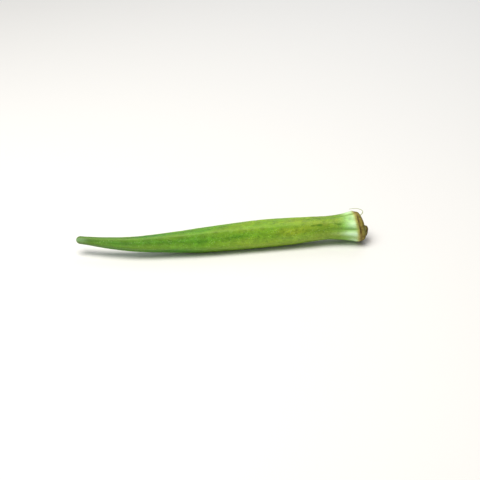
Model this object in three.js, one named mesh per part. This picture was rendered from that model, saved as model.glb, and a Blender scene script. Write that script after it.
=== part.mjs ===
// A picked okra pod lying on its belly: a long five-ribbed seed pod that tapers to a blunt beak,
// and the low cap with the cut stub of stalk that closes its wide end.
// Millimetres, +Z up. +X runs from the beak to the stalk, and the surface it lies on is z = 0.
import * as THREE from "three";

// Driving dimensions
const podLength = 166.5;
const beakRound = 2.4;
const ribCount = 5;
const firstRibDeg = 37;
const twistDeg = 20;
const sidesPerRib = 10;
const bodyRings = 30;
const neckLength = 22;
const neckRings = 9;
const rimLip = 1.6;
// The rim's end plane leans back at its top, and is turned so that its front reaches further out.
const rimTiltDeg = 8;
const rimTurnDeg = 4;

const seamGap = 0.3;
const capHeight = 3.95;
const collarRadius = 3.5;
const cutRadius = 3;
const stubLength = 1.15;
const stalkDrop = 2.6;
const stalkForward = 1.2;
const cutTiltDeg = -14;

// The pod as stations along its centre line, from the wide end at x = 0 to the beak. side and
// height place the centre line, and radius is the mean of the section. rib lifts the five angles
// and crest sharpens them. At the neck crest turns negative, so that the ribs broaden into five
// bulges with narrow grooves between them.
const stations = [
  { x: 0, side: -0.6, height: 9.25, radius: 8.85, rib: 0.014, crest: -0.006 },
  { x: -0.5, side: -0.58, height: 9.25, radius: 9.15, rib: 0.017, crest: -0.008 },
  { x: -rimLip, side: -0.54, height: 9.25, radius: 9.2, rib: 0.02, crest: -0.01 },
  { x: -4.3, side: -0.4, height: 9.25, radius: 8.6, rib: 0.024, crest: -0.012 },
  { x: -8.8, side: -0.15, height: 9.15, radius: 7.75, rib: 0.026, crest: -0.006 },
  { x: -18, side: 0.3, height: 9, radius: 6.97, rib: 0.032, crest: 0.003 },
  { x: -29.5, side: 0.5, height: 8.6, radius: 7.45, rib: 0.04, crest: 0.007 },
  { x: -42.5, side: 0.6, height: 8.05, radius: 8.1, rib: 0.044, crest: 0.009 },
  { x: -56.5, side: 0.5, height: 7.8, radius: 8.25, rib: 0.047, crest: 0.01 },
  { x: -82.5, side: -0.5, height: 7.35, radius: 7.65, rib: 0.055, crest: 0.013 },
  { x: -95.5, side: -1.1, height: 7.4, radius: 7, rib: 0.062, crest: 0.015 },
  { x: -107.5, side: -1.5, height: 7.7, radius: 5.95, rib: 0.068, crest: 0.016 },
  { x: -131.5, side: -1.2, height: 8, radius: 4.3, rib: 0.07, crest: 0.017 },
  { x: -148.5, side: 1.6, height: 8.6, radius: 3.15, rib: 0.058, crest: 0.012 },
  { x: -159.5, side: 4.6, height: 9.1, radius: 2.45, rib: 0.035, crest: 0.005 },
  { x: -podLength, side: 6.7, height: 9.35, radius: 2.25, rib: 0.01, crest: 0 },
];

// The cap as rings from the seam outwards: out is the distance from the pod's end plane, angular
// is how five-sided the ring is, and lean is how far it has followed the drooping stalk. tiltDeg
// leans the ring back at its top, as the rim does, or forward, as the cut of the stalk does.
const capProfile = [
  { out: 0, radius: 8.45, angular: 0.008, lean: 0, tiltDeg: rimTiltDeg },
  { out: 0.35, radius: 8.8, angular: 0.012, lean: 0, tiltDeg: rimTiltDeg },
  { out: 1.5, radius: 8.6, angular: 0.016, lean: 0.02, tiltDeg: rimTiltDeg },
  { out: 2.5, radius: 7.9, angular: 0.024, lean: 0.1, tiltDeg: rimTiltDeg },
  { out: 3.1, radius: 6.8, angular: 0.034, lean: 0.25, tiltDeg: 7 },
  { out: 3.4, radius: 5.4, angular: 0.034, lean: 0.5, tiltDeg: 5 },
  { out: capHeight - 0.3, radius: collarRadius + 0.7, angular: 0.025, lean: 0.8, tiltDeg: 2 },
  { out: capHeight, radius: collarRadius, angular: 0.02, lean: 1, tiltDeg: 0 },
  { out: capHeight + stubLength - 0.3, radius: cutRadius + 0.2, angular: 0.02, lean: 1.05, tiltDeg: -8 },
  { out: capHeight + stubLength, radius: cutRadius, angular: 0.02, lean: 1.08, tiltDeg: cutTiltDeg },
];

const rad = THREE.MathUtils.degToRad;
const sides = ribCount * sidesPerRib;

// A smooth value between the stations, with slopes from the neighbours on each side.
function along(key, x) {
  const last = stations.length - 1;
  let i = 0;
  while (i < last - 1 && x < stations[i + 1].x) i += 1;
  const slopeAt = (k) => {
    const before = stations[Math.max(k - 1, 0)];
    const after = stations[Math.min(k + 1, last)];
    return (after[key] - before[key]) / (after.x - before.x);
  };
  const [from, to] = [stations[i], stations[i + 1]];
  const span = to.x - from.x;
  const t = (x - from.x) / span;
  const [t2, t3] = [t * t, t * t * t];
  return (
    (2 * t3 - 3 * t2 + 1) * from[key] +
    (t3 - 2 * t2 + t) * span * slopeAt(i) +
    (3 * t2 - 2 * t3) * to[key] +
    (t3 - t2) * span * slopeAt(i + 1)
  );
}

// The angle of the first rib from the top, towards the front. The ribs turn slowly to the beak.
function ribAngle(x) {
  return rad(firstRibDeg + (twistDeg * x) / podLength);
}

// The centre line at x: its point, the direction of the axis, and its upward and forward normals.
function frameAt(x) {
  const point = (at) => new THREE.Vector3(at, along("side", at), along("height", at));
  const step = 0.5;
  const axis = point(Math.min(x + step, 0))
    .sub(point(Math.max(x - step, -podLength)))
    .normalize();
  const upward = new THREE.Vector3(0, 0, 1);
  upward.addScaledVector(axis, -upward.dot(axis)).normalize();
  return { centre: point(x), axis, upward, forward: axis.clone().cross(upward) };
}

// A ring of points round a centre, starting on a rib, leaning by a tilt and a turn given in
// degrees. radiusOf takes the angle from that rib.
function ring({ centre, axis, upward, forward }, turned, [tiltDeg, turnDeg], radiusOf) {
  return Array.from({ length: sides }, (_, k) => {
    const angle = (2 * Math.PI * k) / sides;
    const radius = radiusOf(angle);
    const above = radius * Math.cos(turned + angle);
    const ahead = radius * Math.sin(turned + angle);
    return centre
      .clone()
      .addScaledVector(upward, above)
      .addScaledVector(forward, ahead)
      .addScaledVector(axis, ahead * Math.tan(rad(turnDeg)) - above * Math.tan(rad(tiltDeg)));
  });
}

// A closed solid through rings that run along +X, with a point at each end. Whatever would sink
// below the surface is pressed flat on it, which makes the small flat spot that the pod lies on.
function loft(startPoint, rings, endPoint) {
  const points = [startPoint, ...rings.flat(), endPoint];
  const end = points.length - 1;
  const at = (i, k) => 1 + i * sides + (k % sides);
  const faces = [];
  for (let k = 0; k < sides; k += 1) {
    faces.push(0, at(0, k + 1), at(0, k));
    for (let i = 0; i < rings.length - 1; i += 1) {
      faces.push(at(i, k), at(i, k + 1), at(i + 1, k + 1));
      faces.push(at(i, k), at(i + 1, k + 1), at(i + 1, k));
    }
    faces.push(end, at(rings.length - 1, k), at(rings.length - 1, k + 1));
  }
  const lying = points.flatMap((p) => [p.x, p.y, Math.max(p.z, 0)]);
  const geometry = new THREE.BufferGeometry();
  geometry.setAttribute("position", new THREE.Float32BufferAttribute(lying, 3));
  geometry.setIndex(faces);
  geometry.computeVertexNormals();
  return geometry;
}

// Where the pod's rings stand: close together round the beak's end, even along the body, and
// closer again on the flaring neck and its rolled lip.
function ringPlaces() {
  const spread = (from, to, count) =>
    Array.from({ length: count }, (_, k) => from + ((to - from) * k) / count);
  const beakStepsDeg = [15, 32, 50, 70];
  const beak = beakStepsDeg.map((step) => -podLength + beakRound * (1 - Math.cos(rad(step))));
  return [
    ...beak,
    ...spread(-podLength + beakRound, -neckLength, bodyRings),
    ...spread(-neckLength, -rimLip, neckRings),
    ...spread(-rimLip, -0.5, 2),
    -0.5,
    -0.2,
    0,
  ];
}

// The neck's rings lean more and more, up to the rim's end plane.
function podGeometry() {
  const rings = ringPlaces().map((x) => {
    const fromTip = Math.min((x + podLength) / beakRound, 1);
    const mean = along("radius", x) * Math.sqrt(1 - (1 - fromTip) ** 2);
    const leaning = THREE.MathUtils.smoothstep(x, -neckLength, 0);
    const lean = [rimTiltDeg * leaning, rimTurnDeg * leaning];
    return ring(frameAt(x), ribAngle(x), lean, (angle) => {
      const rib = along("rib", x) * Math.cos(ribCount * angle);
      const crest = along("crest", x) * Math.cos(2 * ribCount * angle);
      return mean * (1 + rib + crest);
    });
  });
  return loft(frameAt(-podLength).centre, rings, frameAt(0).centre);
}

// The cap's five corners stand over the bulges of the neck, in line with the ribs.
function capGeometry() {
  const base = frameAt(0);
  const placed = ({ out, lean }) =>
    base.centre
      .clone()
      .addScaledVector(base.axis, seamGap + out)
      .addScaledVector(base.upward, -stalkDrop * lean)
      .addScaledVector(base.forward, stalkForward * lean);
  const rings = capProfile.map((step) => {
    const lean = [step.tiltDeg, rimTurnDeg];
    return ring({ ...base, centre: placed(step) }, ribAngle(0), lean, (angle) => {
      return step.radius * (1 + step.angular * Math.cos(ribCount * angle));
    });
  });
  return loft(placed(capProfile[0]), rings, placed(capProfile.at(-1)));
}

const podSkin = new THREE.MeshStandardMaterial({ color: 0x6f9a2f, roughness: 0.5, metalness: 0 });
const capSkin = new THREE.MeshStandardMaterial({ color: 0x86843c, roughness: 0.65, metalness: 0 });

const pod = new THREE.Mesh(podGeometry(), podSkin);
pod.name = "pod";

const stemCap = new THREE.Mesh(capGeometry(), capSkin);
stemCap.name = "stem_cap";

// The origin is the middle of the footprint, on the surface that the pod lies on.
const okra = new THREE.Group();
okra.add(pod, stemCap);
const middle = new THREE.Box3().setFromObject(okra).getCenter(new THREE.Vector3());
okra.position.set(-middle.x, -middle.y, 0);

export default okra;
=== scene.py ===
# An okra pod as picked, lying on its belly on a pale table.
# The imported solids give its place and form. The pieces here give the skin with its ribs, pleated
# neck and rolled rim, the corky cap with the cut end of the stalk, and a thread of dried bract.
import math

import bpy
import numpy as np
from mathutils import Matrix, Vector, noise


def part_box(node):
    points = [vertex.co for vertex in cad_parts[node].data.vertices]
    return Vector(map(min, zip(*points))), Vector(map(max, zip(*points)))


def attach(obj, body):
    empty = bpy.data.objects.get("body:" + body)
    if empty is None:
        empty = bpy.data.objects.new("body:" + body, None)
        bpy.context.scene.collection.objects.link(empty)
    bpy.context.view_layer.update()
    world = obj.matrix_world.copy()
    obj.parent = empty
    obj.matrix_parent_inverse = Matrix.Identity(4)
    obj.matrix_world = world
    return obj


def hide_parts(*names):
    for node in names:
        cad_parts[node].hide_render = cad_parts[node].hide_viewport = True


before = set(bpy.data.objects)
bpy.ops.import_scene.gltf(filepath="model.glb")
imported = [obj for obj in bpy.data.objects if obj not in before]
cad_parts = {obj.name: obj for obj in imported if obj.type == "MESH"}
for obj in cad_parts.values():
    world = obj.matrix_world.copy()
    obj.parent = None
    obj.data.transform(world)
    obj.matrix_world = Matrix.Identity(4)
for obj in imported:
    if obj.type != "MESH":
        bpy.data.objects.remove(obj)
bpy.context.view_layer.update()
mm = 0.001
print("frame loaded:", ", ".join(sorted(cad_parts)))


# colours are written as sRGB hex and turned to linear here
def hexColour(code):
    channels = [int(code[i:i + 2], 16) / 255 for i in (1, 3, 5)]
    linear = [c / 12.92 if c <= 0.04045 else ((c + 0.055) / 1.055) ** 2.4 for c in channels]
    return (*linear, 1.0)


# adds one shader node: settings are its own properties, stops fill a colour ramp, and links maps
# each input to a socket, a hex colour or a plain value
def addNode(tree, kind, settings=None, links=None, stops=None):
    node = tree.nodes.new("ShaderNode" + kind)
    for name, value in (settings or {}).items():
        setattr(node, name, value)
    for socket, source in (links or {}).items():
        if isinstance(source, bpy.types.NodeSocket):
            tree.links.new(source, node.inputs[socket])
        else:
            value = hexColour(source) if isinstance(source, str) else source
            node.inputs[socket].default_value = value
    if stops:
        ramp = node.color_ramp.elements
        ramp.remove(ramp[1])
        ramp[0].position, ramp[0].color = stops[0][0], hexColour(stops[0][1])
        for position, colour in stops[1:]:
            ramp.new(position).color = hexColour(colour)
    return node


# most of a noise lies between these values
noiseSpan = {"From Min": 0.3, "From Max": 0.7}


def emptyMaterial(name):
    material = bpy.data.materials.new(name)
    material.use_nodes = True
    material.node_tree.nodes.clear()
    return material, material.node_tree


# The pod's form

# all in mm, the same as the solid's: x runs back from the rim (0) to the beak
podForm = {
    "length": 166.5,
    "beakRound": 2.4,
    "ribs": 5,
    "firstRib": 37,  # degrees from the top towards the front, at the rim
    "twist": 20,  # degrees that the ribs turn on their way to the beak
    "neckLength": 22,
    "rimTilt": 8,  # degrees that the rim's end plane leans back at its top
    "rimTurn": 4,  # and is turned, so that its front reaches further out
    "x": [0, -0.5, -1.6, -4.3, -8.8, -18, -29.5, -42.5, -56.5, -82.5, -95.5, -107.5, -131.5, -148.5,
          -159.5, -166.5],
    # at those places: the centre line's offset and height, and the mean radius
    "side": [-0.6, -0.58, -0.54, -0.4, -0.15, 0.3, 0.5, 0.6, 0.5, -0.5, -1.1, -1.5, -1.2, 1.6, 4.6, 6.7],
    "height": [9.25, 9.25, 9.25, 9.25, 9.15, 9, 8.6, 8.05, 7.8, 7.35, 7.4, 7.7, 8, 8.6, 9.1, 9.35],
    "radius": [8.85, 9.15, 9.2, 8.6, 7.75, 6.97, 7.45, 8.1, 8.25, 7.65, 7, 5.95, 4.3, 3.15, 2.45, 2.25],
    # how far the five ribs stand out, and how sharp they are, as shares of the radius
    "rib": [0.014, 0.017, 0.02, 0.024, 0.026, 0.032, 0.04, 0.044, 0.047, 0.055, 0.062, 0.068, 0.07,
            0.058, 0.035, 0.01],
    "crest": [-0.006, -0.008, -0.01, -0.012, -0.006, 0.003, 0.007, 0.009, 0.01, 0.013, 0.015, 0.016,
              0.017, 0.012, 0.005, 0],
}


# a smooth value between the stations, with slopes from the neighbours on each side
def alongPod(key, x):
    places, values = np.array(podForm["x"], float), np.array(podForm[key], float)
    last = len(places) - 1
    before, after = np.maximum(np.arange(last + 1) - 1, 0), np.minimum(np.arange(last + 1) + 1, last)
    slopes = (values[after] - values[before]) / (places[after] - places[before])
    i = np.minimum(np.searchsorted(-places[1:], -x), last - 1)
    span = places[i + 1] - places[i]
    t = (x - places[i]) / span
    return (
        (2 * t**3 - 3 * t**2 + 1) * values[i]
        + (t**3 - 2 * t**2 + t) * span * slopes[i]
        + (3 * t**2 - 2 * t**3) * values[i + 1]
        + (t**3 - t**2) * span * slopes[i + 1]
    )


def ribAngle(x):
    return np.radians(podForm["firstRib"] + podForm["twist"] * x / podForm["length"])


# the centre line's points, its direction, and the upward and forward directions across it
def centreLine(x):
    def point(at):
        return np.stack([at, alongPod("side", at), alongPod("height", at)], axis=-1)

    axis = point(np.minimum(x + 0.5, 0)) - point(np.maximum(x - 0.5, -podForm["length"]))
    axis /= np.linalg.norm(axis, axis=-1, keepdims=True)
    upward = np.array([0, 0, 1]) - axis * axis[:, 2:]
    upward /= np.linalg.norm(upward, axis=-1, keepdims=True)
    return point(x), axis, upward, np.cross(axis, upward)


# how far points at an angle and a radius stand along the axis when their ring leans, in degrees
def leanOffset(angle, radius, tilt, turn):
    ahead, above = radius * np.sin(angle), radius * np.cos(angle)
    return ahead * np.tan(np.radians(turn)) - above * np.tan(np.radians(tilt))


def acrossAxis(upward, forward, angle):
    return upward * np.cos(angle)[..., None] + forward * np.sin(angle)[..., None]


# how far round angles in radians stand from a place given in degrees
def turnFrom(degrees, angle):
    return (angle - np.radians(degrees) + np.pi) % (2 * np.pi) - np.pi


# 1 at a place given in degrees, falling off over a width in degrees on both sides
def bell(degrees, width, angle):
    return np.exp(-((turnFrom(degrees, angle) / np.radians(width)) ** 2))


# 0 to 1 with a soft start and end
def eased(share):
    share = np.clip(share, 0, 1)
    return share**2 * (3 - 2 * share)


# a closed mesh through rings of points along +X, given in mm, with a point at each end
def loftPiece(name, startPoint, rings, endPoint, shift):
    count, sides = rings.shape[:2]
    points = np.concatenate([[startPoint], rings.reshape(-1, 3), [endPoint]])
    points[:, 2] = np.maximum(points[:, 2], 0)  # pressed flat where it lies
    row = 1 + np.arange(count)[:, None] * sides
    here, following = np.arange(sides), (np.arange(sides) + 1) % sides
    quads = np.stack([row[:-1] + here, row[:-1] + following, row[1:] + following, row[1:] + here], -1)
    faces = quads.reshape(-1, 4).tolist()
    end = len(points) - 1
    faces += [(0, row[0, 0] + b, row[0, 0] + a) for a, b in zip(here, following)]
    faces += [(end, row[-1, 0] + a, row[-1, 0] + b) for a, b in zip(here, following)]
    mesh = bpy.data.meshes.new(name)
    mesh.from_pydata(((points + shift) * mm).tolist(), [], faces)
    mesh.shade_smooth()
    piece = bpy.data.objects.new(name, mesh)
    bpy.context.collection.objects.link(piece)
    return piece


# stores one value, or one vector, for every point, for the material to read
def storeOnPoints(piece, name, values, kind="FLOAT"):
    field = "value" if kind == "FLOAT" else "vector"
    attribute = piece.data.attributes.new(name, kind, "POINT")
    attribute.data.foreach_set(field, np.ascontiguousarray(values, dtype=np.float32).ravel())


# smooth noise between -1 and 1 at each point of an array, for features of the given size in mm
def unevenness(points, size, seed=0):
    flat = points.reshape(-1, 3) / np.array(size) + seed * 17.3
    values = [noise.noise(Vector(p)) for p in flat.tolist()]
    return np.array(values).reshape(points.shape[:-1])


# The pod's skin

podSkin = {
    "sides": 200,
    "bodyStep": 0.5,  # mm between rings
    "neckStart": -22,
    "neckStep": 0.36,
    "lipStart": -1.6,
    "lipStep": 0.12,
    # where the body's patterns begin to give way to the neck's, and over how many mm
    "neckFade": (26, 18),
    "beakFade": 14,  # mm from the beak's end over which the patterns come in
    "ridgeHeight": 0.06,  # the fine line that runs along each rib, mm
    "ridgeWidth": 1.1,
    # unevenness of the skin: mm high, and mm along and across
    "slowSwell": (0.16, (22, 9, 9)),
    "lumps": (0.08, (3.2, 1.5, 1.5)),
    "lipWaver": (0.16, (9, 3, 3)),  # of the rolled rim alone
    "breakup": (11, 4, 4),  # size of the noise that keeps the patterns below from being regular
    "seedSwell": 0.07,  # two rows of faint swellings in each chamber, where the seeds press
    "seedStep": 5.4,
    "pleats": 35,  # fine pleats round the neck
    "pleatFade": (20, 14),
    "pleatDepth": 0.045,
    "pleatShade": 0.16,  # how much of the grooves' painted shade a pleat's hollow has
    "furrowFade": (24, 17),
    "furrowDepth": 0.34,  # the five grooves between the neck's bulges
    "furrowWidth": 0.8,
    "sutureDepth": 0.07,  # the broken line that carries each groove on down the body
    "sutureWidth": 1.1,
    "flankWidth": 2.8,  # the yellower skin on both sides of each rib
    # a paler streak along the front: between these mm from the rim it goes from one angle to the
    # other, in degrees from the top
    "streakSpan": (-107, -12),
    "streakAngle": (79, 91),
    "streakWidth": 8,
    "streakFade": (95, 35),
    # soft folds that gather at the rim on both sides of each groove: degrees from the top, how far
    # back they reach, half their width in degrees, height
    "folds": [
        (51, 9, 11, 0.18),
        (90, 21, 9.5, 0.28),
        (19, 7, 9, 0.06),
        (-17, 10, 10, 0.18),
        (-54, 16, 8, 0.24),
        (-90, 9, 10, 0.2),
        (-126, 14, 8, 0.22),
        (-163, 8, 10, 0.18),
        (161, 15, 8, 0.22),
        (127, 10, 10, 0.2),
    ],
    "edgeFill": 0.24,  # how far the rim's worn edge fills the seam
    "edgeWidth": 0.5,  # mm
    "dentAngle": -19,  # degrees from the top: a small dent in the rim
    "dentDepth": 0.7,
    "dentWidth": 1.0,
    "dentLength": 1.2,
    # specks beside the ribs: how many, mm from the rim, degrees off the rib, length, width, darkness
    "specks": 34,
    "speckPlace": (12, 160),
    "speckSpread": 9,
    "speckLength": (0.8, 2.6),
    "speckWidth": (0.4, 0.8),
    "speckDarkness": (0.15, 0.5),
    "seed": 11,
    "scarDepth": 0.07,
    # the marks that show most: mm from the rim, degrees from the top, length, width, darkness
    "marks": [
        (-23.6, 43, 5.0, 1.6, 1.1),
        (-27.6, 44, 3.0, 1.2, 0.7),
        (-11.8, 46, 4.2, 1.5, 1.0),
        (-13.8, 42, 3.2, 1.1, 0.9),
        (-16.8, 41, 2.8, 0.9, 0.55),
        (-17.5, 52, 3.0, 0.8, 0.35),
        (-58.0, 61, 3.6, 1.2, 0.35),
        (-54.5, 66, 2.6, 1.0, 0.3),
        (-41.0, 88, 2.4, 0.9, 0.4),
        (-40.2, 112, 2.6, 1.0, 0.35),
        (-92.4, 41, 5.0, 1.8, 0.35),
    ],
    # a painted highlight on the beak's upper front, where its glossy skin faces the light
    "beakHighlightReach": 9.5,  # mm from the beak's end
    "beakHighlightAngle": 60,  # degrees from the top
    "beakHighlightWidth": 30,
}

# The seam is closed round most of the rim, and the cap has lifted from it in a few places.
seamGape = {
    "openAt": 69,  # degrees from the top: where it gapes most
    "openWidth": 15,
    "patchSize": 3.0,  # mm round the rim
    "patchLevel": 0.12,
    "patchContrast": 1.8,
    "depth": 0.65,  # how much of the worn edges is missing there
}


# how open the seam is, 0 to 1
def seamOpening(angle):
    rim = np.stack([np.cos(angle), np.sin(angle), np.zeros_like(angle)], axis=-1) * podForm["radius"][1]
    patches = unevenness(rim, (seamGape["patchSize"],) * 3, 7)
    patches = seamGape["patchLevel"] + seamGape["patchContrast"] * patches
    return np.clip(np.maximum(patches, bell(seamGape["openAt"], seamGape["openWidth"], angle)), 0, 1)


def ringPlaces():
    length, beakRound = podForm["length"], podForm["beakRound"]
    beak = -length + beakRound * (1 - np.cos(np.radians(np.linspace(6, 86, 18))))
    body = np.arange(-length + beakRound + 0.15, podSkin["neckStart"], podSkin["bodyStep"])
    neck = np.arange(podSkin["neckStart"], podSkin["lipStart"], podSkin["neckStep"])
    lip = np.append(np.arange(podSkin["lipStart"], -0.05, podSkin["lipStep"]), 0.0)
    return np.concatenate([beak, body, neck, lip])


# 0 on the body, rising to 1 over the fade's length on the way to the rim
def towardsRim(along, fade):
    start, length = fade
    return np.clip((along + start) / length, 0, 1)


# dark scratches and specks, as a value of 0 to 1 for every point of the skin
def markField(x, worldAngle, radius, grain):
    rng = np.random.default_rng(podSkin["seed"])
    marks = list(podSkin["marks"])
    ribStep = 360 / podForm["ribs"]
    for _ in range(podSkin["specks"]):
        place = -rng.uniform(*podSkin["speckPlace"])
        rib = np.degrees(ribAngle(place)) + ribStep * rng.integers(podForm["ribs"])
        angle = rib + rng.normal(0, podSkin["speckSpread"])
        sizes = [rng.uniform(*podSkin[name]) for name in ("speckLength", "speckWidth", "speckDarkness")]
        marks.append((place, angle, *sizes))
    field = np.zeros_like(worldAngle)
    for place, angle, long, wide, dark in marks:
        aside = turnFrom(angle, worldAngle) * radius
        far = ((x - place) / (long / 2)) ** 2 + (aside / (wide / 2)) ** 2
        field = np.maximum(field, dark * np.clip(1.25 - far + 0.6 * grain, 0, 1))
    return field


def makePodSkin(shiftTo):
    x = ringPlaces()
    sides = podSkin["sides"]
    centre, axis, upward, forward = centreLine(x)
    fromRib = np.tile(2 * np.pi * np.arange(sides) / sides, (len(x), 1))
    along = np.tile(x[:, None], (1, sides))
    worldAngle = fromRib + ribAngle(along)

    # the plain form: mean radius, rounded beak, five ribs
    closing = np.sqrt(1 - (1 - np.minimum((x + podForm["length"]) / podForm["beakRound"], 1)) ** 2)
    ribs = alongPod("rib", along) * np.cos(podForm["ribs"] * fromRib)
    crests = alongPod("crest", along) * np.cos(2 * podForm["ribs"] * fromRib)
    radius = (alongPod("radius", x) * closing)[:, None] * (1 + ribs + crests)

    # where the patterns are read: the pod drawn out straight, in mm
    straight = np.stack([along, radius * np.cos(fromRib), radius * np.sin(fromRib)], axis=-1)
    halfGap = np.pi / podForm["ribs"]
    gap = (fromRib + halfGap) % (2 * halfGap) - halfGap
    crestNear = np.exp(-((gap * radius / podSkin["ridgeWidth"]) ** 2))
    neckward = towardsRim(along, podSkin["neckFade"])  # 0 on the body, 1 at the neck
    beakward = np.clip((along + podForm["length"]) / podSkin["beakFade"], 0, 1)  # 0 at the beak's end
    slowHeight, slowSize = podSkin["slowSwell"]
    lumpHeight, lumpSize = podSkin["lumps"]
    grain = unevenness(straight, lumpSize, 2)
    breakup = unevenness(straight, podSkin["breakup"], 3)

    relief = podSkin["ridgeHeight"] * crestNear * (1 - 0.8 * neckward) * beakward * (1 + 0.6 * breakup)
    relief += slowHeight * unevenness(straight, slowSize, 1) * (0.35 + 0.65 * beakward)
    relief += lumpHeight * grain * beakward

    # seeds press from inside in two rows between one rib and the next
    row = np.cos(podForm["ribs"] / 2 * gap - np.sign(gap) * np.pi / 4) ** 6
    beat = np.cos(2 * np.pi * along / podSkin["seedStep"] + 2.4 * np.sign(gap) + 5 * breakup)
    relief += podSkin["seedSwell"] * row * beat * (1 - neckward) * beakward * np.clip(0.5 + breakup, 0, 1)

    # grooves part the neck's bulges, and fine pleats gather there and run out on the body
    pleated = towardsRim(along, podSkin["pleatFade"]) * np.clip(-along / 1.5, 0, 1)
    pleat = np.cos(podSkin["pleats"] * fromRib + 4 * breakup) * np.clip(0.6 + grain, 0, 1)
    relief += podSkin["pleatDepth"] * pleated * pleat
    valley = (np.abs(gap) - halfGap) * radius
    suture = np.exp(-((valley / podSkin["sutureWidth"]) ** 2)) * np.clip(0.4 + 1.4 * breakup, 0, 1)
    suture *= beakward * np.clip(-along / 6, 0, 1)
    relief -= podSkin["sutureDepth"] * suture
    grooved = eased(towardsRim(along, podSkin["furrowFade"])) * np.clip(-along / 2.4, 0, 1)
    furrowAndShade = grooved * np.exp(-((valley / podSkin["furrowWidth"]) ** 2))
    relief -= podSkin["furrowDepth"] * furrowAndShade

    # soft folds stand on both sides of the grooves
    foldHighlight = np.zeros_like(along)
    highest = max(high for *_, high in podSkin["folds"])
    for angle, reach, wide, high in podSkin["folds"]:
        length = eased((along + reach) / (0.7 * reach)) * np.clip(-along / 1.2, 0, 1)
        swell = length * bell(angle, wide, worldAngle)
        relief += high * swell
        # where the folds lie, for their painted highlight
        foldHighlight = np.maximum(foldHighlight, swell * high / highest)

    # the rolled rim wavers, and has a small dent near the top
    lipHeight, lipSize = podSkin["lipWaver"]
    lip = np.exp(-(((along + 0.9) / 1.4) ** 2))
    relief += lipHeight * lip * unevenness(straight, lipSize, 4)
    dentTurn = turnFrom(podSkin["dentAngle"], worldAngle) * radius / podSkin["dentWidth"]
    dentAndShade = np.exp(-(dentTurn**2) - ((along + 0.2) / podSkin["dentLength"]) ** 2)
    relief -= podSkin["dentDepth"] * dentAndShade

    # the rim's edge stands up to the cap, except where the seam gapes
    edge = np.clip(1 + along / podSkin["edgeWidth"], 0, 1)
    gapeAndShade = seamOpening(worldAngle) * edge
    relief += podSkin["edgeFill"] * (edge - seamGape["depth"] * gapeAndShade)

    scar = markField(along, worldAngle, radius, grain)
    relief -= podSkin["scarDepth"] * scar

    # the neck's rings lean more and more, up to the rim's end plane
    leaning = eased(x / podForm["neckLength"] + 1)[:, None]
    lean = leanOffset(worldAngle, radius, podForm["rimTilt"] * leaning, podForm["rimTurn"] * leaning)
    outward = acrossAxis(upward[:, None], forward[:, None], worldAngle)
    plain = centre[:, None] + outward * radius[..., None] + axis[:, None] * lean[..., None]
    shift = shiftTo(plain)
    rings = plain + outward * relief[..., None]

    # the end face under the cap, by how far each ring has closed
    rimEdge = rings[-1]
    closed = (0.03, 0.1, 0.4, 0.75)
    rings = np.concatenate([rings, [rimEdge + (centre[-1] - rimEdge) * share for share in closed]])
    beakEnd = centre[0] - axis[0] * (x[0] + podForm["length"])
    piece = loftPiece("podSkin", beakEnd, rings, centre[-1], shift)

    # values on the points, with the ends and the end face filled from their nearest ring
    def onAllPoints(values):
        ends = np.repeat(values[-1:], len(closed), axis=0)
        flat = np.concatenate([values, ends]).reshape(-1, *values.shape[2:])
        return np.concatenate([flat[:1], flat, flat[-1:]])

    streakLine = np.radians(np.interp(along, podSkin["streakSpan"], podSkin["streakAngle"]))
    streak = np.exp(-(((worldAngle - streakLine) / np.radians(podSkin["streakWidth"])) ** 2))
    streak *= eased(towardsRim(along, podSkin["streakFade"])) * eased(-(along + 4) / 8)
    nearBeakEnd = eased(1 - (along + podForm["length"]) / podSkin["beakHighlightReach"])
    facing = bell(podSkin["beakHighlightAngle"], podSkin["beakHighlightWidth"], worldAngle)
    fields = {
        "crestNear": crestNear * (1 - neckward),
        "flank": np.exp(-((gap * radius / podSkin["flankWidth"]) ** 2)) * (1 - neckward),
        "suture": suture,
        "streak": streak * np.clip(0.8 + 0.8 * breakup, 0, 1),
        "scar": scar,
        "furrowAndShade": furrowAndShade + podSkin["pleatShade"] * pleated * np.clip(-pleat, 0, 1),
        "foldHighlight": foldHighlight,
        "dentAndShade": dentAndShade,
        "gapeAndShade": gapeAndShade,
        "beakGlossAndHighlight": nearBeakEnd * np.clip(facing + 0.7 * breakup, 0, 1),
    }
    storeOnPoints(piece, "straight", onAllPoints(straight), "FLOAT_VECTOR")
    for name, values in fields.items():
        storeOnPoints(piece, name, onAllPoints(values))
    return piece, shift


# moves the pod's own millimetres to where the frame has the solid
def toTheFrame(plain):
    low, high = (np.array(corner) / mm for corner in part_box("pod"))
    points = plain.reshape(-1, 3)
    middle = (points.min(axis=0) + points.max(axis=0)) / 2
    return np.array([*((low + high) / 2 - middle)[:2], 0])


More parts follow.
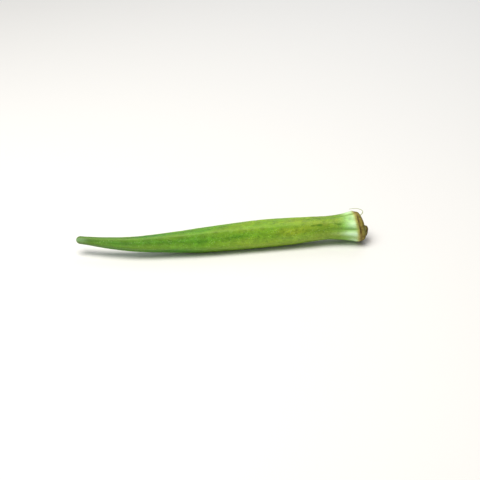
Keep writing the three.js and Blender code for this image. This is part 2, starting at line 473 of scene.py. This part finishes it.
# Fresh okra skin: a waxy green rind under fine down. It gives broad soft highlights that break up
# into grains, a yellower green towards the neck, and a pale pleated neck with a cream rim.
okraSkin = {
    # mm from the rim, colour
    "alongColours": [
        # darker towards the beak: partly its own deeper green, partly painted shade for the beak's dark
        # edges
        (-166.5, "#2c5816"),
        (-160, "#336810"),
        (-150, "#3f7a12"),
        (-130, "#468616"),
        (-108, "#559119"),
        (-83, "#6a9e1c"),
        (-58, "#80a81f"),
        (-34, "#86a824"),
        (-18, "#7ea024"),
        (-12.5, "#80a52c"),
        (-9, "#8dbc4e"),
        (-6, "#9fcd76"),
        (-3.8, "#afd788"),
        (-2.4, "#bad68c"),
        (-1.6, "#b8bd68"),
        (-0.8, "#a29848"),
        (0, "#8e7b3a"),
    ],
    # noises drawn out along the pod: mm long, mm wide, detail, roughness
    "noises": {
        "drift": (20, 5, 2.0, 0.5),  # slow changes between a yellower and a deeper green
        "blotch": (4.0, 3.0, 4.0, 0.58),  # lighter and darker places
        "fibre": (6.0, 0.55, 2.0, 0.5),  # wider than the real 0.1 mm so that it shows
        "down": (0.6, 0.6, 2.0, 0.6),  # coarser than the real hairs so that it shows
        "speck": (1.7, 0.85, 3.0, 0.6),  # small dark green specks
    },
    "driftHue": (0.482, 0.518),  # 0.5 leaves the hue as it is
    # how dark and how light each noise makes the green
    "shades": {"blotch": (0.76, 1.2), "fibre": (0.94, 1.05), "down": (0.9, 1.1)},
    "hairStep": 0.85,  # mm between the hair bases
    # laid over the green one after another: what places it, its share, how it mixes, colour
    "tints": [
        ("speck", 0.66, "MULTIPLY", "#86a258"),
        ("flank", 0.18, "MIX", "#98b238"),
        ("suture", 0.3, "MULTIPLY", "#8ea860"),
        ("streak", 0.24, "MIX", "#a9c25c"),
        ("crestNear", 0.08, "MIX", "#a9c95e"),
        # painted highlight: pale mint on the neck's folds
        ("foldHighlight", 0.95, "MIX", "#d9f7ca"),
        # painted shade: darker green in the neck's grooves and the pleats' hollows
        ("furrowAndShade", 0.7, "MIX", "#6f9c38"),
        # partly painted: pale hair bases that also stand for the glints of the down
        ("hairBasesAndGlints", 1.0, "MIX", "#cfe3a0"),
        ("scar", 0.85, "MIX", "#4f7a0a"),
        # painted shade: dark olive in the rim's small dent
        ("dentAndShade", 0.85, "MIX", "#3c4a18"),
        # painted shade: dark brown in the seam where it gapes
        ("gapeAndShade", 0.85, "MIX", "#4a3512"),
        # painted highlight: a pale bluish sky reflection on the beak's upper front
        ("beakGlossAndHighlight", 0.8, "MIX", "#86ad74"),
    ],
    # strength and depth in mm
    "bumps": {"down": (0.7, 0.22), "fibre": (0.5, 0.1), "hairBase": (0.4, 0.06)},
    "roughness": (0.38, 0.58),
    "beakGlossDrop": 0.1,  # how much less rough the beak's glossy patch is
}


def makeOkraSkin():
    material, tree = emptyMaterial("freshOkraSkin")
    straight = addNode(tree, "Attribute", {"attribute_name": "straight"}).outputs["Vector"]
    place = addNode(tree, "SeparateXYZ", links={"Vector": straight}).outputs["X"]
    fields = {}
    for name in (
        "crestNear", "flank", "suture", "streak", "scar", "furrowAndShade", "foldHighlight", "dentAndShade", "gapeAndShade", "beakGlossAndHighlight",
    ):
        fields[name] = addNode(tree, "Attribute", {"attribute_name": name}).outputs["Fac"]
    noises = {}
    for name, (long, wide, detail, coarseness) in okraSkin["noises"].items():
        drawnOut = addNode(tree, "VectorMath", {"operation": "MULTIPLY"}, {
            0: straight, 1: (1 / long, 1 / wide, 1 / wide)})
        noises[name] = addNode(tree, "TexNoise", {"noise_dimensions": "3D"}, {
            "Vector": drawnOut.outputs["Vector"], "Scale": 1.0,
            "Detail": detail, "Roughness": coarseness}).outputs["Fac"]

    # green along the length, its hue drifting slowly, lighter and darker by the noises
    length = podForm["length"]
    lengthShare = addNode(tree, "MapRange", links={"Value": place, "From Min": -length, "From Max": 0.0})
    stops = [((at + length) / length, colour) for at, colour in okraSkin["alongColours"]]
    green = addNode(tree, "ValToRGB", stops=stops, links={"Fac": lengthShare.outputs["Result"]})
    low, high = okraSkin["driftHue"]
    hue = addNode(tree, "MapRange", links={
        "Value": noises["drift"], **noiseSpan, "To Min": low, "To Max": high})
    value = 1.0
    for name, (low, high) in okraSkin["shades"].items():
        shade = addNode(tree, "MapRange", links={
            "Value": noises[name], **noiseSpan, "To Min": low, "To Max": high})
        value = addNode(tree, "Math", {"operation": "MULTIPLY"}, {
            0: value, 1: shade.outputs["Result"]}).outputs["Value"]
    colour = addNode(tree, "HueSaturation", links={
        "Hue": hue.outputs["Result"], "Value": value, "Color": green.outputs["Color"]}).outputs["Color"]

    # specks thin out on the neck, folds carry a painted highlight from there up to the rim's tan edge,
    # and the hair bases are pale dots, partly painted glints of the down, most in the lighter blotches
    softly = {"interpolation_type": "SMOOTHSTEP"}
    dots = addNode(tree, "TexVoronoi", {"feature": "F1"}, {
        "Vector": straight, "Scale": 1 / okraSkin["hairStep"], "Randomness": 0.9})
    spans = {
        "speckAll": ({}, noises["speck"], (0.5, 0.7), (0, 1)),
        "onBody": (softly, place, (-14, -5), (1, 0.2)),
        "foldHighlightStart": (softly, place, (-13, -4), (0.2, 1)),
        "foldHighlightEnd": (softly, place, (-2.8, -1.2), (1, 0)),
        "hairBase": (softly, dots.outputs["Distance"], (0.1, 0.34), (1, 0)),
        "hairGlintPatch": ({}, noises["blotch"], (0.42, 0.62), (0.06, 0.34)),
        "dentAndShade": ({}, fields["dentAndShade"], (0.3, 0.8), (0, 1)),
    }
    for name, (kind, source, start, end) in spans.items():
        fields[name] = addNode(tree, "MapRange", kind, {
            "Value": source, "From Min": start[0], "From Max": start[1],
            "To Min": end[0], "To Max": end[1]}).outputs["Result"]
    for name, first, second in (
        ("speck", "speckAll", "onBody"),
        ("foldHighlight", "foldHighlight", "foldHighlightStart"),
        ("foldHighlight", "foldHighlight", "foldHighlightEnd"),
        ("hairBasesAndGlints", "hairBase", "hairGlintPatch"),
    ):
        fields[name] = addNode(tree, "Math", {"operation": "MULTIPLY"}, {
            0: fields[first], 1: fields[second]}).outputs["Value"]
    for name, share, blend, tint in okraSkin["tints"]:
        amount = addNode(tree, "Math", {"operation": "MULTIPLY"}, {0: fields[name], 1: share})
        colour = addNode(tree, "Mix", {"data_type": "RGBA", "blend_type": blend}, {
            0: amount.outputs["Value"], 6: colour, 7: tint}).outputs[2]

    # down breaks the gloss into grains, and the beak's glossy patch is smoother than the rest
    low, high = okraSkin["roughness"]
    rough = addNode(tree, "MapRange", links={
        "Value": noises["blotch"], "From Min": 0.35, "From Max": 0.65, "To Min": low, "To Max": high})
    roughness = addNode(tree, "Math", {"operation": "MULTIPLY_ADD"}, {
        0: fields["beakGlossAndHighlight"], 1: -okraSkin["beakGlossDrop"], 2: rough.outputs["Result"]})
    heights = {**noises, "hairBase": fields["hairBase"]}
    normal = {}
    for name, (strength, depth) in okraSkin["bumps"].items():
        bump = addNode(tree, "Bump", links={
            "Strength": strength, "Distance": depth * mm, "Height": heights[name], **normal})
        normal = {"Normal": bump.outputs["Normal"]}

    skin = addNode(tree, "BsdfPrincipled", links={
        "Base Color": colour,
        "Roughness": roughness.outputs["Value"],
        **normal,
        "IOR": 1.4,
        "Specular IOR Level": 0.4,
        "Subsurface Weight": 0.1,
        "Subsurface Radius": (0.5, 1.0, 0.25),
        "Subsurface Scale": 1.5 * mm,
        "Sheen Weight": 0.05,
        "Sheen Roughness": 0.45,
        "Sheen Tint": "#e8f4d0",
    })
    addNode(tree, "OutputMaterial", links={"Surface": skin.outputs["BSDF"]})
    return material


skinPiece, shift = makePodSkin(toTheFrame)
skinPiece.data.materials.append(makeOkraSkin())
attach(skinPiece, "root")
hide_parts("pod")
print("pod skin made:", len(skinPiece.data.polygons), "faces")


# The cap

stemCap = {
    "sides": 160,
    "seamGap": 0.3,  # mm, as between the solids
    "stalkDrop": 2.6,  # mm that the stub hangs below the pod's axis
    "stalkForward": 1.2,  # and stands in front of it
    # from the seam outwards, in mm: distance from the pod, radius, how angular, how far it has
    # followed the drooping stalk, and the degrees that it leans back at the top
    "profile": [
        (0, 8.45, 0.008, 0, 8),
        (0.35, 8.8, 0.012, 0, 8),
        (1.5, 8.6, 0.016, 0.02, 8),
        (2.5, 7.9, 0.024, 0.1, 8),
        (3.1, 6.8, 0.034, 0.25, 7),
        (3.4, 5.4, 0.034, 0.5, 5),
        (3.65, 4.2, 0.025, 0.8, 2),
        (3.95, 3.5, 0.02, 1, 0),
        (4.8, 3.2, 0.02, 1.05, -8),
        (5.1, 3.0, 0.02, 1.08, -14),
    ],
    "edgeWidth": 0.9,  # the worn edge that closes the seam
    "edgeFill": 0.58,  # how far it stands out, mm
    "edgeReach": 0.26,  # and how far it reaches towards the rim
    "step": 0.11,  # mm between rings
    "cutRings": 24,  # on the cut face
    # mm from the seam: where the relief stands highest, and how far it spreads
    "cone": (3.2, 1.7),
    "cornerRidge": 0.34,
    # noises: mm high, and how fast they change round the cap and outwards
    "ripple": (0.09, (3.2, 3.2, 0.5)),
    "worn": (0.12, (6, 6, 1.3)),
    "wornSize": 2.2,  # the worn places are drawn this much larger
    "wornLean": 0.08,  # how far the worn places stand out along the pod, mm
    "stubStart": 5.4,  # mm from the seam
    "fibres": 44,  # round the stub
    "fibreHeight": 0.05,
    "cutEdge": 0.13,  # how far the cut face's edge stands up, mm
    "pithDepth": 0.16,
    "pithSize": 0.3,  # as a share of the face's radius
    "cutGrain": 0.05,
}


def makeStemCap(shift):
    # rings at even steps down the profile, then in to the middle of the cut face
    profile = np.array(stemCap["profile"], float)
    lengths = np.hypot(*np.diff(profile[:, :2], axis=0).T)
    fromSeam = np.concatenate([[0], np.cumsum(lengths)])
    steps = np.arange(0, fromSeam[-1], stemCap["step"])
    kernel = np.array([0.25, 0.5, 0.25])
    columns = []
    for column in profile.T:
        values = np.interp(steps, fromSeam, column)
        for _ in range(2):  # wear the corners round
            values[1:-1] = np.convolve(values, kernel, mode="valid")
        columns.append(values)
    inward = 1 - np.arange(1, stemCap["cutRings"]) / stemCap["cutRings"]
    fromSeam = np.concatenate([steps, steps[-1] + columns[1][-1] * (1 - inward)])
    shrinks = (False, True, True, False, False)
    columns = [
        np.concatenate([values, values[-1] * (inward if shrink else np.ones_like(inward))])
        for values, shrink in zip(columns, shrinks)
    ]
    out, radius, angular, lean, tilt = columns
    onCut = np.arange(len(out)) >= len(steps)

    sides = stemCap["sides"]
    fromRib = np.tile(2 * np.pi * np.arange(sides) / sides, (len(out), 1))
    reach = radius[:, None] * (1 + angular[:, None] * np.cos(podForm["ribs"] * fromRib))
    spoke = np.stack([
        np.cos(fromRib), np.sin(fromRib), np.tile(fromSeam[:, None], (1, sides))], axis=-1)

    # corky skin: soft ridges at the corners, spokes of fibre, and a worn surface
    conePlace, coneWidth = stemCap["cone"]
    cone = np.exp(-(((fromSeam - conePlace) / coneWidth) ** 2))[:, None]
    stub = (np.clip((fromSeam - stemCap["stubStart"]) / 0.5, 0, 1) * ~onCut)[:, None]
    corner = np.cos(podForm["ribs"] * fromRib / 2) ** 24
    rippleHeight, rippleScale = stemCap["ripple"]
    wornHeight, wornScale = stemCap["worn"]
    ripple = unevenness(spoke * rippleScale, (1, 1, 1), 5)
    worn = unevenness(spoke * wornScale, (stemCap["wornSize"],) * 3, 6)
    fibre = np.cos(stemCap["fibres"] * fromRib + 3 * worn) * stub
    relief = stemCap["cornerRidge"] * corner * cone + wornHeight * worn * (~onCut)[:, None]
    relief += rippleHeight * ripple * cone + stemCap["fibreHeight"] * fibre

    # the cut face: raised a little at its edge, with the pith sunk in the middle
    lift = np.zeros_like(reach)
    share = radius[onCut] / radius[~onCut][-1]
    pith = np.exp(-((share / stemCap["pithSize"]) ** 2))
    dish = stemCap["cutEdge"] * share**6 - stemCap["pithDepth"] * pith
    lift[onCut] = dish[:, None] + stemCap["cutGrain"] * ripple[onCut]
    lift += stemCap["wornLean"] * worn * cone

    # the cap's edge meets the rim, except where the seam gapes
    centre, axis, upward, forward = (values[0] for values in centreLine(np.array([0.0])))
    turned = fromRib + ribAngle(0)
    edge = np.clip(1 - fromSeam / stemCap["edgeWidth"], 0, 1)[:, None]
    gapeAndShade = seamOpening(turned) * edge
    wornEdge = edge - seamGape["depth"] * gapeAndShade
    relief += stemCap["edgeFill"] * wornEdge
    lift -= stemCap["edgeReach"] * wornEdge
    outward = acrossAxis(upward, forward, turned)
    middle = (
        centre
        + axis * (stemCap["seamGap"] + out[:, None])
        - upward * stemCap["stalkDrop"] * lean[:, None]
        + forward * stemCap["stalkForward"] * lean[:, None]
    )
    lift += leanOffset(turned, reach, tilt[:, None], podForm["rimTurn"])
    rings = middle[:, None] + outward * (reach + relief)[..., None] + axis * lift[..., None]
    piece = loftPiece("stemCap", middle[0], rings, middle[-1] + axis * lift[-1].mean(), shift)

    def onAllPoints(values):
        flat = values.reshape(-1, *values.shape[2:])
        return np.concatenate([flat[:1], flat, flat[-1:]])

    storeOnPoints(piece, "spoke", onAllPoints(spoke), "FLOAT_VECTOR")
    storeOnPoints(piece, "corner", onAllPoints(corner * cone))
    storeOnPoints(piece, "gapeAndShade", onAllPoints(gapeAndShade))
    return piece, len(steps) * sides, steps[-1]


# Corky cap skin: dry, fibrous plant tissue, mottled dull olive with brown edges. A tan line runs
# along the seam, and a greener collar stands round the stub.
corkySkin = {
    # mm from the seam over the cap's skin, colour
    "outwardColours": [
        (0.0, "#957f3e"),
        (0.4, "#8a7634"),
        (1.0, "#8c7e34"),
        (1.8, "#857a30"),
        (2.8, "#73661f"),
        (3.6, "#7b6f2a"),
        (4.8, "#7e7830"),
        (5.6, "#6e6824"),
        (6.3, "#7e7f38"),
        (7.0, "#8a9449"),
        (7.8, "#7c7a34"),
        (8.4, "#66501d"),
        (8.85, "#4f3a14"),
    ],
    # fibres 1 mm wide and 2.2 mm long at the cap's edge, coarser than real so that they show
    "fibreStretch": (9.0, 9.0, 0.45),
    "fibreShade": (0.82, 1.14),
    "mottleSize": 1.5,  # mm
    # a darker and a paler mottle: the noise where it starts, the noise where it is full, colour
    "mottles": [(0.5, 0.68, "#4f3d10"), (0.48, 0.32, "#a39a4e")],
    "mottleShare": 0.6,
    # laid over them: what places it, its share, colour
    # the gape tint is painted shade in the open seam
    "tints": [("corner", 0.55, "#5e3f18"), ("gapeAndShade", 0.85, "#4a3512")],
    "roughness": 0.72,
}


def makeCorkySkin(skinLength):
    material, tree = emptyMaterial("corkyCapSkin")
    spoke = addNode(tree, "Attribute", {"attribute_name": "spoke"}).outputs["Vector"]
    place = addNode(tree, "SeparateXYZ", links={"Vector": spoke}).outputs["Z"]
    outShare = addNode(tree, "MapRange", links={"Value": place, "From Min": 0.0, "From Max": skinLength})
    stops = [(min(at / skinLength, 1), colour) for at, colour in corkySkin["outwardColours"]]
    olive = addNode(tree, "ValToRGB", stops=stops, links={"Fac": outShare.outputs["Result"]})

    # spokes of fibre and worn mottles, brown corners, and painted shade in the seam where it gapes
    stretch = addNode(tree, "VectorMath", {"operation": "MULTIPLY"}, {
        0: spoke, 1: corkySkin["fibreStretch"]})
    fibre = addNode(tree, "TexNoise", {"noise_dimensions": "3D"}, {
        "Vector": stretch.outputs["Vector"], "Scale": 1.0, "Detail": 3.0, "Roughness": 0.55})
    spot = addNode(tree, "TexCoord").outputs["Object"]
    blotch = addNode(tree, "TexNoise", {"noise_dimensions": "3D"}, {
        "Vector": spot, "Scale": 1 / (corkySkin["mottleSize"] * mm), "Detail": 3.0, "Roughness": 0.6})
    low, high = corkySkin["fibreShade"]
    shade = addNode(tree, "MapRange", links={
        "Value": fibre.outputs["Fac"], **noiseSpan, "To Min": low, "To Max": high})
    colour = addNode(tree, "HueSaturation", links={
        "Value": shade.outputs["Result"], "Color": olive.outputs["Color"]}).outputs["Color"]
    for begin, full, tint in corkySkin["mottles"]:
        mottle = addNode(tree, "MapRange", links={
            "Value": blotch.outputs["Fac"], "From Min": begin, "From Max": full,
            "To Max": corkySkin["mottleShare"]})
        colour = addNode(tree, "Mix", {"data_type": "RGBA"}, {
            0: mottle.outputs["Result"], 6: colour, 7: tint}).outputs[2]
    for name, share, tint in corkySkin["tints"]:
        field = addNode(tree, "Attribute", {"attribute_name": name})
        amount = addNode(tree, "Math", {"operation": "MULTIPLY"}, {0: field.outputs["Fac"], 1: share})
        colour = addNode(tree, "Mix", {"data_type": "RGBA"}, {
            0: amount.outputs["Value"], 6: colour, 7: tint}).outputs[2]
    bump = addNode(tree, "Bump", links={
        "Strength": 0.6, "Distance": 0.15 * mm, "Height": fibre.outputs["Fac"]})
    mottleBump = addNode(tree, "Bump", links={
        "Strength": 0.5, "Distance": 0.2 * mm, "Height": blotch.outputs["Fac"],
        "Normal": bump.outputs["Normal"]})
    skin = addNode(tree, "BsdfPrincipled", links={
        "Base Color": colour,
        "Roughness": corkySkin["roughness"],
        "Normal": mottleBump.outputs["Normal"],
        "IOR": 1.45,
        "Specular IOR Level": 0.3,
        "Subsurface Weight": 0.05,
        "Subsurface Radius": (0.8, 0.9, 0.3),
        "Subsurface Scale": 1.0 * mm,
    })
    addNode(tree, "OutputMaterial", links={"Surface": skin.outputs["BSDF"]})
    return material


# Knife-cut stalk: wet pith dried to a tan skin, orange brown, darker where the rind rings it.
cutStalk = {
    # mm from the middle of the cut face, colour
    "outwardColours": [
        (0.0, "#c99a55"),
        (0.8, "#d9ad66"),
        (1.7, "#dcae5e"),
        (2.4, "#cf9b4c"),
        (2.75, "#a8742f"),
        (3.0, "#5f431a"),
    ],
    "fibreSize": 0.7,  # mm, coarser than real so that it shows
    "fibreShade": (0.84, 1.12),
    "stainSize": 2.6,  # mm
    "stainShare": 0.6,
    "stain": "#a2672c",
    "roughness": 0.66,
}


def makeCutStalk(skinLength):
    material, tree = emptyMaterial("knifeCutStalk")
    spoke = addNode(tree, "Attribute", {"attribute_name": "spoke"}).outputs["Vector"]
    place = addNode(tree, "SeparateXYZ", links={"Vector": spoke}).outputs["Z"]
    cutRadius = stemCap["profile"][-1][1]
    share = addNode(tree, "MapRange", links={
        "Value": place, "From Min": skinLength + cutRadius, "From Max": skinLength})
    stops = [(at / cutRadius, colour) for at, colour in cutStalk["outwardColours"]]
    tan = addNode(tree, "ValToRGB", stops=stops, links={"Fac": share.outputs["Result"]})
    spot = addNode(tree, "TexCoord").outputs["Object"]
    fibre = addNode(tree, "TexNoise", {"noise_dimensions": "3D"}, {
        "Vector": spot, "Scale": 1 / (cutStalk["fibreSize"] * mm), "Detail": 3.0, "Roughness": 0.6})
    low, high = cutStalk["fibreShade"]
    shade = addNode(tree, "MapRange", links={
        "Value": fibre.outputs["Fac"], **noiseSpan, "To Min": low, "To Max": high})
    toned = addNode(tree, "HueSaturation", links={
        "Value": shade.outputs["Result"], "Color": tan.outputs["Color"]})
    stain = addNode(tree, "TexNoise", {"noise_dimensions": "3D"}, {
        "Vector": spot, "Scale": 1 / (cutStalk["stainSize"] * mm), "Detail": 2.0, "Roughness": 0.5})
    stainShare = addNode(tree, "MapRange", links={
        "Value": stain.outputs["Fac"], "From Min": 0.55, "From Max": 0.75,
        "To Max": cutStalk["stainShare"]})
    stained = addNode(tree, "Mix", {"data_type": "RGBA"}, {
        0: stainShare.outputs["Result"], 6: toned.outputs["Color"], 7: cutStalk["stain"]})
    bump = addNode(tree, "Bump", links={
        "Strength": 0.5, "Distance": 0.12 * mm, "Height": fibre.outputs["Fac"]})
    face = addNode(tree, "BsdfPrincipled", links={
        "Base Color": stained.outputs[2],
        "Roughness": cutStalk["roughness"],
        "Normal": bump.outputs["Normal"],
        "IOR": 1.45,
        "Subsurface Weight": 0.08,
        "Subsurface Radius": (1.0, 0.7, 0.3),
        "Subsurface Scale": 1.0 * mm,
    })
    addNode(tree, "OutputMaterial", links={"Surface": face.outputs["BSDF"]})
    return material


capPiece, skinPoints, skinLength = makeStemCap(shift)
capPiece.data.materials.append(makeCorkySkin(skinLength))
capPiece.data.materials.append(makeCutStalk(skinLength))
for polygon in capPiece.data.polygons:
    if min(polygon.vertices) > skinPoints - stemCap["sides"]:
        polygon.material_index = 1
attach(capPiece, "root")
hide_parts("stem_cap")
print("cap made:", len(capPiece.data.polygons), "faces")


# The dried bract: a thread left from the flower's outer leaflets. It springs from the cap's edge
# near the top and curls back over the rim.
driedBract = {
    # along the pod from the rim, degrees from the top towards the front, distance from the axis
    "route": [
        (1.2, 8, 7.6),
        (1.85, 7, 8.7),
        (2.7, 4, 9.35),
        (3.05, -3, 9.7),
        (2.7, -10, 10.1),
        (1.7, -15, 10.5),
        (0.25, -20, 10.75),
        (-1.85, -24, 10.8),
        (-4.2, -28, 10.55),
    ],
    "width": (0.6, 0.3),  # at its root and at its end
    "thickness": 0.6,  # as a share of the width
    "sides": 10,
    "stepsPerPoint": 8,
    "colour": "#98a552",
}


# an even route through the given points
def throughPoints(points, stepsPerPoint):
    spaced = np.concatenate([[2 * points[0] - points[1]], points, [2 * points[-1] - points[-2]]])
    t = np.arange(stepsPerPoint)[:, None] / stepsPerPoint
    route = []
    for before, start, stop, after in zip(spaced, spaced[1:], spaced[2:], spaced[3:]):
        bend = 2 * before - 5 * start + 4 * stop - after
        lift = 3 * start - before - 3 * stop + after
        route.extend((2 * start + (stop - before) * t + bend * t**2 + lift * t**3) / 2)
    return np.array([*route, points[-1]])


def makeDriedBract(shift):
    route = throughPoints(np.array(driedBract["route"], float), driedBract["stepsPerPoint"])
    centre, axis, upward, forward = (values[0] for values in centreLine(np.array([0.0])))
    x, angle, reach = route.T
    line = centre + x[:, None] * axis + acrossAxis(upward, forward, np.radians(angle)) * reach[:, None]
    heading = np.gradient(line, axis=0)
    heading /= np.linalg.norm(heading, axis=1, keepdims=True)
    across = np.cross(heading, -forward)
    across /= np.linalg.norm(across, axis=1, keepdims=True)
    flat = np.cross(heading, across)
    share = np.linspace(0, 1, len(line))
    width = np.interp(share, (0, 1), driedBract["width"])[:, None, None] / 2
    turn = 2 * np.pi * np.arange(driedBract["sides"]) / driedBract["sides"]
    spread = np.cos(turn)[None, :, None] * across[:, None] * driedBract["thickness"]
    spread = spread + np.sin(turn)[None, :, None] * flat[:, None]
    rings = line[:, None] + spread * width
    return loftPiece("driedBract", line[0] - heading[0] * 0.1, rings, line[-1] + heading[-1] * 0.1, shift)


# Dry leaf tissue: a papery, matt thread that lets some light through.
def makeDryLeaf():
    material, tree = emptyMaterial("dryBractFibre")
    leaf = addNode(tree, "BsdfPrincipled", links={
        "Base Color": driedBract["colour"],
        "Roughness": 0.7,
        "IOR": 1.45,
        "Subsurface Weight": 0.3,
        "Subsurface Radius": (0.5, 0.6, 0.3),
        "Subsurface Scale": 0.4 * mm,
    })
    addNode(tree, "OutputMaterial", links={"Surface": leaf.outputs["BSDF"]})
    return material


bractPiece = makeDriedBract(shift)
bractPiece.data.materials.append(makeDryLeaf())
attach(bractPiece, "root")
print("bract made:", len(bractPiece.data.polygons), "faces")


# Table, lights and camera

# matt white paint: an even pale ground that throws light back under the pod
studio = {
    "table": "#e9e8e5",
    "tableSide": 4.0,  # metres
    "sky": "#f6f8ff",
    "skyStrength": 0.29,
    # place and size in metres, power in watts
    "softbox": {"place": (-0.24, -0.12, 0.82), "size": 0.6, "power": 8.9, "colour": "#fffcf6"},
    "rear": {"place": (0.3, 0.55, 0.5), "size": 0.4, "power": 1.0, "colour": "#f4f8ff"},
}


def makeTable():
    half = studio["tableSide"] / 2
    mesh = bpy.data.meshes.new("table")
    corners = [(-half, -half, 0), (half, -half, 0), (half, half, 0), (-half, half, 0)]
    mesh.from_pydata([(x, y, -0.05 * mm) for x, y, _ in corners], [], [(0, 1, 2, 3)])
    table = bpy.data.objects.new("table", mesh)
    bpy.context.collection.objects.link(table)
    material, tree = emptyMaterial("mattWhitePaint")
    paint = addNode(tree, "BsdfPrincipled", links={
        "Base Color": studio["table"], "Roughness": 0.85, "Specular IOR Level": 0.3})
    addNode(tree, "OutputMaterial", links={"Surface": paint.outputs["BSDF"]})
    mesh.materials.append(material)


def makeSoftbox(name, place, size, power, colour):
    light = bpy.data.lights.new(name, "AREA")
    light.shape = "SQUARE"
    light.size = size
    light.energy = power
    light.color = hexColour(colour)[:3]
    holder = bpy.data.objects.new(name, light)
    holder.location = place
    holder.rotation_euler = (-Vector(place)).to_track_quat("-Z", "Y").to_euler()
    bpy.context.collection.objects.link(holder)


# The photograph's view: looking down 30 degrees and 8 degrees round towards the beak, from a good
# arm's length. The rim's middle stands at a named pixel of the 480 px frame.
photoView = {
    "azimuth": -8,
    "elevation": 30,
    "viewAngle": 23,  # across the frame, degrees
    "distance": 0.705,
    "frameSide": 480,
    "rimPixel": (357.0, 226.4),
}


def makeCamera(rimMiddle):
    turn, tilt = math.radians(photoView["azimuth"]), math.radians(photoView["elevation"])
    back = Vector((math.sin(turn) * math.cos(tilt), -math.cos(turn) * math.cos(tilt), math.sin(tilt)))
    right = Vector((math.cos(turn), math.sin(turn), 0))
    upward = back.cross(right)
    half = math.radians(photoView["viewAngle"] / 2)
    distance, centre = photoView["distance"], photoView["frameSide"] / 2
    perPixel = distance * math.tan(half) / centre
    camera = bpy.data.cameras.new("camera")
    camera.sensor_width = 36
    camera.lens = camera.sensor_width / 2 / math.tan(half)
    camera.clip_start = 0.01
    holder = bpy.data.objects.new("camera", camera)
    aside = (photoView["rimPixel"][0] - centre) * perPixel
    above = (centre - photoView["rimPixel"][1]) * perPixel
    holder.location = rimMiddle + back * distance - right * aside - upward * above
    holder.rotation_euler = (-back).to_track_quat("-Z", "Y").to_euler()
    bpy.context.collection.objects.link(holder)
    bpy.context.scene.camera = holder


makeTable()
for name in ("softbox", "rear"):
    makeSoftbox(name, **studio[name])
world = bpy.data.worlds.new("studioAir")
world.use_nodes = True
air = world.node_tree.nodes["Background"].inputs
air["Color"].default_value = hexColour(studio["sky"])
air["Strength"].default_value = studio["skyStrength"]
bpy.context.scene.world = world
bpy.context.scene.view_settings.view_transform = "Standard"

rimCentre = centreLine(np.array([0.0]))[0][0] + shift
makeCamera(Vector(rimCentre * mm))
print("table, lights and camera set")
